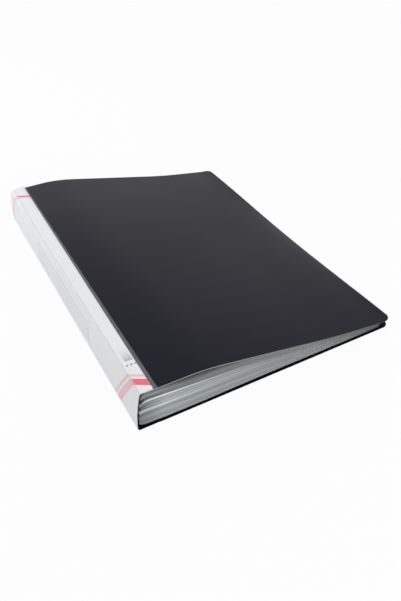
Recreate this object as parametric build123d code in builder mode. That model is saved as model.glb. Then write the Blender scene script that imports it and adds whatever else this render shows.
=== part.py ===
"""Clear pocket display book, lying closed on its back cover.

Millimetres. +X runs from the spine to the fore edge, +Y along the spine to the open ends of the pockets, +Z up.
The origin is the middle of the book's footprint, on the surface that it lies on.
"""
import os
from math import asin, atan2, degrees, hypot, radians, sin, sqrt, tan

from build123d import *

# Closed book, over everything
BOOK_WIDTH = 240.0
BOOK_LENGTH = 310.0
BOOK_HEIGHT = 37.5

# Cover: one sheet, scored at two creases into front cover, spine panel and back cover
SHEET = 0.9
CORNER_RADIUS = 6.0
SPINE_BOW = 1.1
SPINE_LEAN = 2.2
CREASE_CLEARANCE = 0.1

# Front cover's fall from the spine to the thin fore edge
LEVEL_RUN = 50.5
UPPER_BEND_RADIUS = 160.0
LOWER_BEND_RADIUS = 600.0
FORE_RUN = 64.0
FORE_SLOPE = 6.6

# Card and clear sleeve round the spine
CARD = 0.25
CARD_REACH = 11.7
CARD_END_MARGIN = 0.6
SLEEVE_FILM = 0.12
SLEEVE_REACH = 14.4
SKIN_GAP = 0.03
CREASE_SETBACK = 0.4

# Shallow step in the back cover that takes the sleeve's lower flange
STEP_MARGIN = 1.0
STEP_RAMP = 4.0
STEP_RADIUS = 6.0

# Pockets
PACKS = 4
POCKETS_PER_PACK = 10
POCKET_FILM = 0.04
POCKET_SLOT = 0.02
POCKET_LIP = 3.0
POCKET_PITCH = 0.5
POCKET_CLEARANCE = 0.055
FORE_MARGIN = 11.0
END_MARGIN = 2.0
STACK_CLEARANCE = 0.15

# Weld strips that carry the packs on the spine
STRIP_DEPTH = 1.0
STRIP_MARGIN = 0.4
BOUND_CLEARANCE = 0.1
LOWEST_POCKET_RISE = 3.2
TOP_ROOM = 5.8

# Heights and places that follow from the sizes
skin = 2 * SKIN_GAP + CARD + SLEEVE_FILM
pocket_thickness = 2 * POCKET_FILM + POCKET_SLOT
pocket_count = PACKS * POCKETS_PER_PACK
fore_x = BOOK_WIDTH / 2
back_crease_z = skin + SHEET / 2
front_crease_z = BOOK_HEIGHT - skin - SHEET / 2

# The spine panel's middle line is an arc through both creases, and leans out towards the back cover
spine_half_height = (front_crease_z - back_crease_z) / 2
spine_middle_z = (front_crease_z + back_crease_z) / 2
spine_chord = hypot(2 * spine_half_height, SPINE_LEAN)
lean_angle = atan2(SPINE_LEAN, 2 * spine_half_height)
bow_radius = (spine_chord**2 / 4 + SPINE_BOW**2) / (2 * SPINE_BOW)
bow_reach = bow_radius - SPINE_BOW
bow_x = bow_radius + SHEET / 2 + skin - BOOK_WIDTH / 2
bow_z = spine_middle_z - bow_reach * SPINE_LEAN / spine_chord
bow_centre = (bow_x, bow_z)
spine_middle_x = bow_x - bow_reach * 2 * spine_half_height / spine_chord
back_crease_x = spine_middle_x - SPINE_LEAN / 2
front_crease_x = spine_middle_x + SPINE_LEAN / 2
back_corner_x = back_crease_x - SHEET / 2 - skin
front_corner_x = front_crease_x - SHEET / 2 - skin
panel_setback = SHEET / 2 + CREASE_CLEARANCE

# Pockets hang on weld strips along the spine, and lie flat on each other at the fore edge
pocket_fore_x = fore_x - FORE_MARGIN
pocket_length = BOOK_LENGTH - 2 * END_MARGIN
lowest_hinge_z = skin + SHEET + LOWEST_POCKET_RISE
highest_hinge_z = BOOK_HEIGHT - skin - SHEET - TOP_ROOM
pack_height = (POCKETS_PER_PACK - 1) * POCKET_PITCH
pack_pitch = (highest_hinge_z - lowest_hinge_z - pack_height) / (PACKS - 1)
fore_pitch = pocket_thickness + POCKET_CLEARANCE
lowest_fore_z = SHEET + STACK_CLEARANCE + pocket_thickness / 2
stack_top_z = lowest_fore_z + pocket_count * fore_pitch
front_fore_z = stack_top_z + STACK_CLEARANCE + SHEET / 2 - FORE_MARGIN * tan(radians(FORE_SLOPE))


def pack_bottom(pack):
    """Height of the lowest hinge line of a pack, with pack 0 next to the back cover."""
    return lowest_hinge_z + pack * pack_pitch


def spine_arc(distance, setback):
    """An arc beside the spine panel's middle line, at a distance outside it and ending short of the creases."""
    radius = bow_radius + distance
    half_angle = degrees(asin(spine_chord / 2 / bow_radius) - setback / radius)
    return CenterArc(bow_centre, radius, 180 - degrees(lean_angle) - half_angle, 2 * half_angle)


def strip_face_x(pack):
    """Place of a weld strip's flat face, clear of the spine panel's inner face at both of its edges."""
    edges = (pack_bottom(pack) - STRIP_MARGIN, pack_bottom(pack) + pack_height + STRIP_MARGIN)
    inner_radius = bow_radius - SHEET / 2
    return STRIP_DEPTH + max(bow_x - sqrt(inner_radius**2 - (edge - bow_z) ** 2) for edge in edges)


def hinge_x(pack):
    """Place of a pack's hinge lines, just inside its weld strip."""
    return strip_face_x(pack) + BOUND_CLEARANCE


def export(builder, name):
    """Label a finished piece and write it as one node."""
    builder.part.label = name
    export_step(builder.part, f"parts/{name}.step")


os.makedirs("parts", exist_ok=True)

# Back cover: flat, with a shallow step up beside the spine
step_x = back_corner_x + SLEEVE_REACH + STEP_MARGIN
with BuildPart() as back_cover:
    with BuildSketch(Plane.XZ):
        with BuildLine():
            FilletPolyline(
                (back_crease_x + panel_setback, back_crease_z),
                (step_x, back_crease_z),
                (step_x + STEP_RAMP, SHEET / 2),
                (fore_x, SHEET / 2),
                radius=STEP_RADIUS,
            )
        trace(line_width=SHEET)
    extrude(amount=BOOK_LENGTH / 2, both=True)
    fillet(back_cover.edges().filter_by(Axis.Z).group_by(Axis.X)[-1], CORNER_RADIUS)
export(back_cover, "back_cover")

# Spine panel: a bowed strip whose round edges are the two creases
with BuildPart() as spine_panel:
    with BuildSketch(Plane.XZ):
        with BuildLine():
            middle_line = spine_arc(0, 0)
        SlotArc(middle_line, SHEET)
    extrude(amount=BOOK_LENGTH / 2, both=True)
export(spine_panel, "spine_panel")

# Front cover: level beside the spine, then falling to the fore edge
front_end_x = fore_x - SHEET / 2 * sin(radians(FORE_SLOPE))
with BuildPart() as front_cover:
    with BuildSketch(Plane.XZ):
        with BuildLine():
            FilletPolyline(
                (front_crease_x + panel_setback, front_crease_z),
                (front_corner_x + LEVEL_RUN, front_crease_z),
                (front_end_x - FORE_RUN, front_fore_z + FORE_RUN * tan(radians(FORE_SLOPE))),
                (front_end_x, front_fore_z),
                radius=(UPPER_BEND_RADIUS, LOWER_BEND_RADIUS),
            )
        trace(line_width=SHEET)
    extrude(amount=BOOK_LENGTH / 2, both=True)
    fore_face = front_cover.faces().sort_by(Axis.X)[-1]
    fillet(fore_face.edges().filter_by(Axis.Y, reverse=True), CORNER_RADIUS)
export(front_cover, "front_cover")

# Card and clear sleeve on the spine: two arcs concentric with the panel
card_offset = SHEET / 2 + SKIN_GAP + CARD / 2
sleeve_offset = SHEET / 2 + skin - SLEEVE_FILM / 2
card_length = BOOK_LENGTH - 2 * CARD_END_MARGIN
with BuildPart() as label_spine:
    with BuildSketch(Plane.XZ):
        with BuildLine():
            spine_arc(card_offset, CREASE_SETBACK)
        trace(line_width=CARD)
    extrude(amount=card_length / 2, both=True)
export(label_spine, "label_spine")

with BuildPart() as sleeve_spine:
    with BuildSketch(Plane.XZ):
        with BuildLine():
            spine_arc(sleeve_offset, CREASE_SETBACK)
        trace(line_width=SLEEVE_FILM)
    extrude(amount=BOOK_LENGTH / 2, both=True)
export(sleeve_spine, "sleeve_spine")

# Card and sleeve flaps on the two covers, facing outwards
creases = (("front", 1, front_crease_x, front_crease_z), ("back", -1, back_crease_x, back_crease_z))
for side, direction, crease_x, crease_z in creases:
    flap_start_x = crease_x + CREASE_SETBACK
    corner_x = crease_x - SHEET / 2 - skin
    with BuildPart() as label_flap:
        with BuildSketch(Plane.XZ):
            with BuildLine():
                card_z = crease_z + direction * card_offset
                Line((flap_start_x, card_z), (corner_x + CARD_REACH, card_z))
            trace(line_width=CARD)
        extrude(amount=card_length / 2, both=True)
    export(label_flap, f"label_{side}")

    with BuildPart() as sleeve_flap:
        with BuildSketch(Plane.XZ):
            with BuildLine():
                sleeve_z = crease_z + direction * sleeve_offset
                Line((flap_start_x, sleeve_z), (corner_x + SLEEVE_REACH, sleeve_z))
            trace(line_width=SLEEVE_FILM)
        extrude(amount=BOOK_LENGTH / 2, both=True)
    export(sleeve_flap, f"sleeve_{side}")

# Weld strips: flat towards the pockets, curved to the spine panel behind
strip_height = pack_height + 2 * STRIP_MARGIN
for pack in range(PACKS):
    strip_z = pack_bottom(pack) + pack_height / 2
    face_x = strip_face_x(pack)
    strip_width = face_x + BOOK_WIDTH / 2
    with BuildPart() as weld_strip:
        with BuildSketch(Plane.XZ):
            with Locations((face_x, strip_z)):
                Rectangle(strip_width, strip_height, align=(Align.MAX, Align.CENTER))
            with Locations(bow_centre):
                Circle(bow_radius - SHEET / 2 - SKIN_GAP, mode=Mode.INTERSECT)
        extrude(amount=pocket_length / 2, both=True)
    export(weld_strip, f"weld_strip_{PACKS - pack}")

# Pockets: two films each, fanned from their weld strip to the stack at the fore edge, counted from the front cover
for index in range(pocket_count):
    pack, place = divmod(index, POCKETS_PER_PACK)
    hinge_z = pack_bottom(pack) + place * POCKET_PITCH
    fore_z = lowest_fore_z + index * fore_pitch
    bound_x = hinge_x(pack)
    run, fall = pocket_fore_x - bound_x, hinge_z - fore_z
    leaf = Plane((bound_x, 0, hinge_z), x_dir=(run, 0, -fall), z_dir=(fall, 0, run))
    pocket_width = hypot(run, fall)
    with BuildPart() as pocket:
        with BuildSketch(leaf.offset(POCKET_SLOT / 2)):
            with Locations((0, -POCKET_LIP / 2)):
                Rectangle(pocket_width, pocket_length - POCKET_LIP, align=(Align.MIN, Align.CENTER))
        extrude(amount=POCKET_FILM)
        with BuildSketch(leaf.offset(-POCKET_SLOT / 2)):
            Rectangle(pocket_width, pocket_length, align=(Align.MIN, Align.CENTER))
        extrude(amount=-POCKET_FILM)
    export(pocket, f"pocket_{pocket_count - index:02d}")
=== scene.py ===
"""Looks of a clear pocket display book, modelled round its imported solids.

Metres. +X runs from the spine to the fore edge, +Y along the spine to the open ends of the pockets, +Z up.
"""

import logging
from collections.abc import Callable, Iterator
from contextlib import contextmanager
from dataclasses import dataclass
from enum import Enum
from functools import reduce
from math import asin, atan2, cos, hypot, pi, radians, sin, sqrt, tan
from random import Random

import bmesh
import bpy
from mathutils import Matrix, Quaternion, Vector


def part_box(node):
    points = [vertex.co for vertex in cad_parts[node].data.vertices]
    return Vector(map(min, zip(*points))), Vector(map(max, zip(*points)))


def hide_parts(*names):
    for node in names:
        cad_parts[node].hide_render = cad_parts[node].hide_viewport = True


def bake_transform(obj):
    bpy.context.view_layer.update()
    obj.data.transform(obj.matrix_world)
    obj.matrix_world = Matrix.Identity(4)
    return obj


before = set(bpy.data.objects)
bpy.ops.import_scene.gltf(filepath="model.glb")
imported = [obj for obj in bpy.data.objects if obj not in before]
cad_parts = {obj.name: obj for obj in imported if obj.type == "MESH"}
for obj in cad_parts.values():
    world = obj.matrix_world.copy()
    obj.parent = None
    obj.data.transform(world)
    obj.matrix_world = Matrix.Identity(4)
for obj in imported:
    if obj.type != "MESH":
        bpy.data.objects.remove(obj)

log = logging.getLogger("display_book")

MM = 0.001
RIGHT_ANGLE = pi / 2
NEAR = 0.00001
SHARP_EDGE = radians(60)
SMOOTH_EDGE = radians(35)
END_FACING = 0.9
EDGE_FACING = 0.5
# Name of the mesh attribute that holds the pockets' painted light and shade, with a random share for each
# pocket.
PAINTED_LIGHT_AND_TONE = "tone"
POCKETS_PER_PACK = 10
WHITE = (1.0, 1.0, 1.0, 1.0)

Colour = tuple[float, float, float]
Triple = tuple[float, float, float]
Point = tuple[float, float]


class Side(Enum):
    """The two covers, with the direction that each faces."""

    FRONT = 1
    BACK = -1


class Element(Enum):
    """What an edit selects."""

    VERT = "VERT"
    EDGE = "EDGE"
    FACE = "FACE"


@dataclass(frozen=True)
class BookSizes:
    """Sizes of the closed book that its sheets share."""

    width: float = 240 * MM
    length: float = 310 * MM
    height: float = 37.5 * MM
    sheet: float = 0.9 * MM
    corner_radius: float = 6 * MM
    spine_bow: float = 1.1 * MM
    spine_lean: float = 2.2 * MM
    card: float = 0.25 * MM
    film: float = 0.12 * MM
    skin_gap: float = 0.03 * MM
    front_fold_radius: float = 0.8 * MM
    back_fold_radius: float = 1.5 * MM
    fold_reach: float = 2.6 * MM
    tuck: float = 0.03 * MM

    @property
    def skin(self) -> float:
        """Thickness of card, film and the gaps between them."""
        return 2 * self.skin_gap + self.card + self.film

    @property
    def half_height(self) -> float:
        """Half the height between the two crease lines."""
        return self.height / 2 - self.skin - self.sheet / 2

    @property
    def spine_chord(self) -> float:
        """Straight distance between the two crease lines."""
        return hypot(2 * self.half_height, self.spine_lean)

    @property
    def bow_radius(self) -> float:
        """Radius of the bowed spine's middle line."""
        return (self.spine_chord**2 / 4 + self.spine_bow**2) / (2 * self.spine_bow)

    @property
    def bow_reach(self) -> float:
        """From the middle between the creases to the bow's centre."""
        return self.bow_radius - self.spine_bow

    @property
    def bow_centre(self) -> Point:
        """Centre of the spine's bow, as x and z."""
        x = self.bow_radius + self.sheet / 2 + self.skin + self.tuck - self.width / 2
        return x, self.height / 2 - self.bow_reach * self.spine_lean / self.spine_chord

    @property
    def card_offset(self) -> float:
        """From the cover's middle line to the card's."""
        return self.sheet / 2 + self.skin_gap + self.card / 2

    @property
    def film_offset(self) -> float:
        """From the cover's middle line to the film's."""
        return self.sheet / 2 + self.skin - self.film / 2

    def crease_x(self, side: Side) -> float:
        """Place of one crease line across the book."""
        middle = self.bow_centre[0] - self.bow_reach * 2 * self.half_height / self.spine_chord
        return middle + side.value * self.spine_lean / 2

    def crease_z(self, side: Side) -> float:
        """Height of one crease line."""
        return self.height / 2 + side.value * self.half_height

    def corner_x(self, side: Side) -> float:
        """Outer face of the film beside one crease."""
        return self.crease_x(side) - self.sheet / 2 - self.skin

    def fold_radius(self, side: Side) -> float:
        """Radius of the cover's middle line round one crease."""
        return self.front_fold_radius if side is Side.FRONT else self.back_fold_radius


@dataclass(frozen=True)
class Wrap:
    """Line that a sheet follows round one crease, at a distance outside the cover's middle line."""

    sizes: BookSizes
    side: Side
    offset: float

    @property
    def flap_z(self) -> float:
        """Height of the flap on the cover."""
        return self.sizes.crease_z(self.side) + self.side.value * self.offset

    @property
    def flap_start(self) -> float:
        """Where the flat of the flap begins, past the stretch that bends."""
        return self.sizes.crease_x(self.side) + self.sizes.fold_reach

    @property
    def bow_radius(self) -> float:
        """Radius of the line along the spine."""
        return self.sizes.bow_radius + self.offset

    @property
    def fold_radius(self) -> float:
        """Radius of the line round the fold."""
        return self.sizes.fold_radius(self.side) + self.offset

    @property
    def fold_span(self) -> float:
        """Distance from the bow's centre to the fold's."""
        return self.bow_radius - self.fold_radius

    @property
    def fold_rise(self) -> float:
        """Height between the bow's centre and the fold's."""
        rise = self.side.value * (self.sizes.crease_z(self.side) - self.sizes.bow_centre[1])
        return rise - self.sizes.fold_radius(self.side)

    @property
    def fold_centre(self) -> Point:
        """Centre of the fold, as x and z."""
        bow_x, bow_z = self.sizes.bow_centre
        return bow_x - sqrt(self.fold_span**2 - self.fold_rise**2), bow_z + self.side.value * self.fold_rise

    @property
    def bow_angle(self) -> float:
        """Angle of the bow from the level of its centre to the fold."""
        return asin(self.fold_rise / self.fold_span)

    @property
    def near_angle(self) -> float:
        """Angle of the bow's stretch that bends with the fold."""
        return self.sizes.fold_reach / self.bow_radius

    @property
    def fold_turn(self) -> float:
        """Angle of the fold."""
        return RIGHT_ANGLE - self.bow_angle

    def travel(self, x: float, z: float) -> float:
        """Measure along the line.

        Args:
            x: Place across the book.
            z: Height.

        Returns:
            Distance from the fold's start on the flap, negative round the fold and on the spine.
        """
        fold_x, fold_z = self.fold_centre
        if x >= fold_x:
            return x - fold_x
        turned = atan2(fold_x - x, self.side.value * (z - fold_z))
        if turned <= self.fold_turn:
            return -self.fold_radius * turned
        bow_x, bow_z = self.sizes.bow_centre
        angle = atan2(self.side.value * (z - bow_z), bow_x - x)
        return -self.fold_radius * self.fold_turn - self.bow_radius * (self.bow_angle - angle)


class Bench:
    """Hand tools for modelling one mesh at a time."""

    @staticmethod
    def take(piece: bpy.types.Object) -> None:
        """Select one piece alone and make it active.

        Args:
            piece: The piece.
        """
        bpy.ops.object.select_all(action="DESELECT")
        piece.select_set(True)
        bpy.context.view_layer.objects.active = piece

    @staticmethod
    def settle(name: str, size: Triple) -> bpy.types.Object:
        """Bring a new primitive to its size and put its place in its mesh.

        Args:
            name: Name of the piece.
            size: Lengths along the three axes.

        Returns:
            The piece.
        """
        bpy.ops.transform.resize(value=size)
        bpy.ops.object.transform_apply(location=True, rotation=True, scale=True)
        piece = bpy.context.object
        piece.name = name
        piece.data.name = name
        return piece

    @staticmethod
    def plane(name: str, start: float, end: float, length: float, z: float) -> bpy.types.Object:
        """Lay a level plane.

        Args:
            name: Name of the piece.
            start: Lowest x.
            end: Highest x.
            length: Size along the spine.
            z: Height.

        Returns:
            The new piece.
        """
        bpy.ops.object.select_all(action="DESELECT")
        bpy.ops.mesh.primitive_plane_add(size=1.0, location=((start + end) / 2, 0.0, z))
        return Bench.settle(name, (end - start, length, 1.0))

    @staticmethod
    def block(name: str, size: Triple, middle: Triple) -> bpy.types.Object:
        """Lay a block.

        Args:
            name: Name of the piece.
            size: Lengths along the three axes.
            middle: Place of its middle.

        Returns:
            The new piece.
        """
        bpy.ops.object.select_all(action="DESELECT")
        bpy.ops.mesh.primitive_cube_add(size=1.0, location=middle)
        return Bench.settle(name, size)

    @staticmethod
    @contextmanager
    def editing(piece: bpy.types.Object, element: Element) -> Iterator[None]:
        """Open a piece in edit mode with nothing selected, and close it afterwards.

        Args:
            piece: The piece to edit.
            element: What the edit selects.

        Yields:
            Nothing, once the piece is open.
        """
        Bench.take(piece)
        bpy.ops.object.mode_set(mode="EDIT")
        bpy.ops.mesh.select_mode(type=element.value)
        bpy.ops.mesh.select_all(action="DESELECT")
        yield
        bpy.ops.object.mode_set(mode="OBJECT")

    @staticmethod
    def pick(piece: bpy.types.Object, element: Element, wanted: Callable[[Vector], bool]) -> None:
        """Select by place in edit mode.

        Args:
            piece: The open piece.
            element: What is selected.
            wanted: Test that every corner of an element has to pass.
        """
        bpy.ops.mesh.select_all(action="DESELECT")
        mesh = bmesh.from_edit_mesh(piece.data)
        found = {Element.VERT: mesh.verts, Element.EDGE: mesh.edges, Element.FACE: mesh.faces}[element]
        for part in found:
            corners = [part] if element is Element.VERT else part.verts
            if all(wanted(corner.co) for corner in corners):
                part.select_set(True)
        bmesh.update_edit_mesh(piece.data)

    @staticmethod
    def run(x: float, z: float, y: float = 0.0) -> None:
        """Extrude what is selected along a straight line."""
        bpy.ops.mesh.extrude_region_move(TRANSFORM_OT_translate={"value": (x, y, z)})

    @staticmethod
    def turn(centre: Point, angle: float, steps: int) -> None:
        """Spin what is selected about a line along Y, from X towards Z where the angle is positive.

        Args:
            centre: The line's x and z.
            angle: Angle of the whole turn.
            steps: Number of new edges.
        """
        middle = (centre[0], 0.0, centre[1])
        bpy.ops.mesh.spin(steps=steps, angle=angle, center=middle, axis=(0.0, 1.0, 0.0))

    @staticmethod
    def order_faces(piece: bpy.types.Object) -> None:
        """Number faces by their corners, because extruded faces are numbered anew in each run.

        Args:
            piece: The open piece.
        """
        mesh = bmesh.from_edit_mesh(piece.data)
        mesh.verts.index_update()
        count = len(mesh.verts)

        def rank(face: bmesh.types.BMFace) -> int:
            """Rank a face by its first two corners and its last."""
            first, second, *_, last = sorted(corner.index for corner in face.verts)
            return (first * count + second) * count + last

        mesh.faces.sort(key=rank)
        bmesh.update_edit_mesh(piece.data)

    @staticmethod
    def thicken(piece: bpy.types.Object, thickness: float) -> None:
        """Give an open sheet its thickness, half to each side.

        Args:
            piece: The sheet.
            thickness: Its thickness.
        """
        Bench.take(piece)
        wall = piece.modifiers.new("wall", "SOLIDIFY")
        wall.thickness = thickness
        wall.offset = 0.0
        wall.use_even_offset = True
        bpy.ops.object.modifier_apply(modifier=wall.name)

    @staticmethod
    def soften(piece: bpy.types.Object, width: float, kept: Callable[[Vector], bool]) -> None:
        """Round the cut edges of a sheet.

        Args:
            piece: The sheet.
            width: Width of the rounding.
            kept: Test for edges that stay sharp, by their corners.
        """
        with Bench.editing(piece, Element.EDGE):
            bpy.ops.mesh.edges_select_sharp(sharpness=SHARP_EDGE)
            mesh = bmesh.from_edit_mesh(piece.data)
            for edge in mesh.edges:
                if edge.select and all(kept(corner.co) for corner in edge.verts):
                    edge.select_set(False)
            bmesh.update_edit_mesh(piece.data)
            bpy.ops.mesh.bevel(offset=width, segments=2, affect="EDGES")

    @staticmethod
    def close(piece: bpy.types.Object) -> None:
        """Turn every face outwards and shade the gentle bends smooth.

        Args:
            piece: The finished piece.
        """
        with Bench.editing(piece, Element.FACE):
            bpy.ops.mesh.select_all(action="SELECT")
            bpy.ops.mesh.normals_make_consistent(inside=False)
        Bench.take(piece)
        bpy.ops.object.shade_smooth_by_angle(angle=SMOOTH_EDGE)

    @staticmethod
    def chart(piece: bpy.types.Object, place: Callable[[Vector], Point]) -> None:
        """Give a piece a map of its surface, in metres.

        Args:
            piece: The piece.
            place: Gives a corner's two coordinates.
        """
        chart = piece.data.uv_layers.active or piece.data.uv_layers.new(name="surface")
        chart.name = "surface"
        for loop in piece.data.loops:
            chart.data[loop.index].uv = place(piece.data.vertices[loop.vertex_index].co)


class Nodes:
    """Lays and links the nodes of one tree."""

    def __init__(self, tree: bpy.types.NodeTree) -> None:
        """Keep the tree."""
        self.tree = tree

    def add(self, kind: str, **inputs: object) -> bpy.types.Node:
        """Add a node.

        Args:
            kind: Blender's name for it.
            inputs: Values or sockets for its inputs, by their names with _ for a space.

        Returns:
            The node.
        """
        return self.fill(self.tree.nodes.new(kind), inputs)

    def fill(self, node: bpy.types.Node, inputs: dict[str, object]) -> bpy.types.Node:
        """Set or link a node's inputs.

        Args:
            node: The node.
            inputs: Values or sockets for its inputs, by their names with _ for a space.

        Returns:
            The node.
        """
        for name, value in inputs.items():
            self.feed(node.inputs[name.replace("_", " ")], value)
        return node

    def feed(self, socket: bpy.types.NodeSocket, value: object) -> None:
        """Set an input, or link it where the value is a socket.

        Args:
            socket: The input.
            value: A value or socket.
        """
        if isinstance(value, bpy.types.NodeSocket):
            self.tree.links.new(value, socket)
        else:
            socket.default_value = value

    def math(self, work: str, first: object, second: object = 0.0) -> bpy.types.NodeSocket:
        """Work out one number from two values or sockets."""
        return self.operate("ShaderNodeMath", work, first, second)

    def vector(self, work: str, first: object, second: object = (0.0, 0.0, 0.0)) -> bpy.types.NodeSocket:
        """Work out one vector from two values or sockets."""
        return self.operate("ShaderNodeVectorMath", work, first, second)

    def operate(self, kind: str, work: str, first: object, second: object) -> bpy.types.NodeSocket:
        """Place a node that works out one value from two.

        Args:
            kind: Blender's name for it.
            work: The operation.
            first: A value or socket.
            second: A value or socket.

        Returns:
            The result's socket.
        """
        node = self.tree.nodes.new(kind)
        node.operation = work
        self.feed(node.inputs[0], first)
        self.feed(node.inputs[1], second)
        return node.outputs[0]

    def product(self, *values: object) -> bpy.types.NodeSocket:
        """Multiply values or sockets, from the first to the last."""
        return reduce(lambda first, second: self.math("MULTIPLY", first, second), values)

    def highest(self, *values: object) -> bpy.types.NodeSocket:
        """Take the highest of some values or sockets."""
        return reduce(lambda first, second: self.math("MAXIMUM", first, second), values)

    def total(self, *values: object) -> bpy.types.NodeSocket:
        """Add values or sockets, from the first to the last."""
        return reduce(lambda first, second: self.math("ADD", first, second), values)

    def clamp(self, value: object) -> bpy.types.NodeSocket:
        """Keep a value from 0 to 1."""
        return self.add("ShaderNodeClamp", Value=value).outputs[0]

    def tone(self) -> bpy.types.NodeSocket:
        """Read the tone attribute that is written into a mesh: on the pockets it holds painted light and
        shade, with a random share.

        Returns:
            The tone's socket.
        """
        node = self.tree.nodes.new("ShaderNodeAttribute")
        node.attribute_name = PAINTED_LIGHT_AND_TONE
        return node.outputs["Fac"]

    def parts(self, vector: object) -> tuple[bpy.types.NodeSocket, bpy.types.NodeSocket]:
        """Give a vector's X and Y."""
        split = self.add("ShaderNodeSeparateXYZ", Vector=vector)
        return split.outputs["X"], split.outputs["Y"]

    def seen(self) -> bpy.types.NodeSocket:
        """Mask the rays that come from the camera, straight or by way of gloss or clear film."""
        rays = self.add("ShaderNodeLightPath").outputs
        return self.highest(*(rays[f"Is {kind} Ray"] for kind in ("Camera", "Glossy", "Transmission")))

    def mix(self, share: object, first: object, second: object) -> bpy.types.NodeSocket:
        """Mix two colours.

        Args:
            share: Share of the second, as a value or socket.
            first: A colour or socket.
            second: A colour or socket.

        Returns:
            The mixed colour's socket.
        """
        node = self.tree.nodes.new("ShaderNodeMix")
        node.data_type = "RGBA"
        self.feed(node.inputs["Factor"], share)
        self.feed(node.inputs[6], first)
        self.feed(node.inputs[7], second)
        return node.outputs[2]

    def spread(self, value: object, low: float, high: float) -> bpy.types.NodeSocket:
        """Bring a mask from 0 to 1 into a range."""
        return self.add("ShaderNodeMapRange", Value=value, To_Min=low, To_Max=high).outputs[0]

    def fade(self, value: object, start: float, end: float) -> bpy.types.NodeSocket:
        """Turn a range of values into a mask from 0 to 1."""
        return self.add("ShaderNodeMapRange", Value=value, From_Min=start, From_Max=end).outputs[0]

    def noise(self, vector: object, scale: object, detail: float = 3.0) -> bpy.types.NodeSocket:
        """Lay a soft noise and give its value."""
        return self.add("ShaderNodeTexNoise", Vector=vector, Scale=scale, Detail=detail).outputs["Fac"]

    def group(self, made: bpy.types.NodeTree, **inputs: object) -> bpy.types.Node:
        """Place a group with its own values.

        Args:
            made: The group.
            inputs: Values or sockets for its inputs, by their names with _ for a space.

        Returns:
            The group's node.
        """
        node = self.tree.nodes.new("ShaderNodeGroup")
        node.node_tree = made
        return self.fill(node, inputs)


class Effects:
    """Surface effects that several finishes share, each built once as a node group."""

    coarseness = 0.22
    pebble_height = 0.6
    grain_detail = 2.0
    slow_scale = 9.0
    streak_scale = 60.0
    streak_detail = 4.0
    cloud_scale = 22.0
    haze_range = (0.12, 0.42)

    def __init__(self) -> None:
        """Build the groups."""
        self.grain = self.build_grain()
        self.band = self.build_band()
        self.haze = self.build_haze()

    @staticmethod
    def start(
        name: str, inputs: dict[str, str], outputs: list[str]
    ) -> tuple[Nodes, dict[str, object], bpy.types.Node]:
        """Start a group.

        Args:
            name: The group's name.
            inputs: Kind of socket for each named input.
            outputs: Names of the values that come out.

        Returns:
            Its nodes, its inputs by name, and its output node.
        """
        tree = bpy.data.node_groups.new(name, "ShaderNodeTree")
        for label, kind in inputs.items():
            tree.interface.new_socket(name=label, in_out="INPUT", socket_type=kind)
        for label in outputs:
            tree.interface.new_socket(name=label, in_out="OUTPUT", socket_type="NodeSocketFloat")
        entry = tree.nodes.new("NodeGroupInput")
        exit_node = tree.nodes.new("NodeGroupOutput")
        return Nodes(tree), {label: entry.outputs[label] for label in inputs}, exit_node

    @staticmethod
    def build_grain() -> bpy.types.NodeTree:
        """Build the fine grain of rolled plastic sheet and paper.

        Returns:
            A group that gives a height and a slow tone.
        """
        sockets = {"Vector": "NodeSocketVector", "Fineness": "NodeSocketFloat"}
        nodes, given, out = Effects.start("rolled_grain", sockets, ["Height", "Tone"])
        fine = nodes.noise(given["Vector"], given["Fineness"], Effects.grain_detail)
        coarse_scale = nodes.product(given["Fineness"], Effects.coarseness)
        coarse = nodes.noise(given["Vector"], coarse_scale, Effects.grain_detail)
        nodes.feed(out.inputs["Height"], nodes.total(fine, nodes.product(coarse, Effects.pebble_height)))
        slow = nodes.noise(given["Vector"], Effects.slow_scale, Effects.grain_detail)
        nodes.feed(out.inputs["Tone"], slow)
        return nodes.tree

    @staticmethod
    def build_band() -> bpy.types.NodeTree:
        """Build a straight band across one coordinate.

        Returns:
            A group that gives 1 inside the band and 0 outside it.
        """
        sockets = {name: "NodeSocketFloat" for name in ("Place", "Middle", "Half Width", "Softness")}
        nodes, given, out = Effects.start("straight_band", sockets, ["Mask"])
        away = nodes.math("ABSOLUTE", nodes.math("SUBTRACT", given["Place"], given["Middle"]))
        left = nodes.math("SUBTRACT", given["Half Width"], away)
        share = nodes.math("DIVIDE", left, given["Softness"])
        nodes.feed(out.inputs["Mask"], nodes.clamp(nodes.total(share, 0.5)))
        return nodes.tree

    @staticmethod
    def build_haze() -> bpy.types.NodeTree:
        """Build the drawn streaks and cloudy patches of clear film.

        Returns:
            A group that gives the haze from 0 to 1.
        """
        sockets = {"Vector": "NodeSocketVector", "Stretch": "NodeSocketVector"}
        nodes, given, out = Effects.start("film_haze", sockets, ["Mask"])
        drawn = nodes.vector("MULTIPLY", given["Vector"], given["Stretch"])
        streaks = nodes.noise(drawn, Effects.streak_scale, Effects.streak_detail)
        clouds = nodes.noise(given["Vector"], Effects.cloud_scale, Effects.grain_detail)
        nodes.feed(out.inputs["Mask"], nodes.fade(nodes.product(streaks, clouds), *Effects.haze_range))
        return nodes.tree


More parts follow.
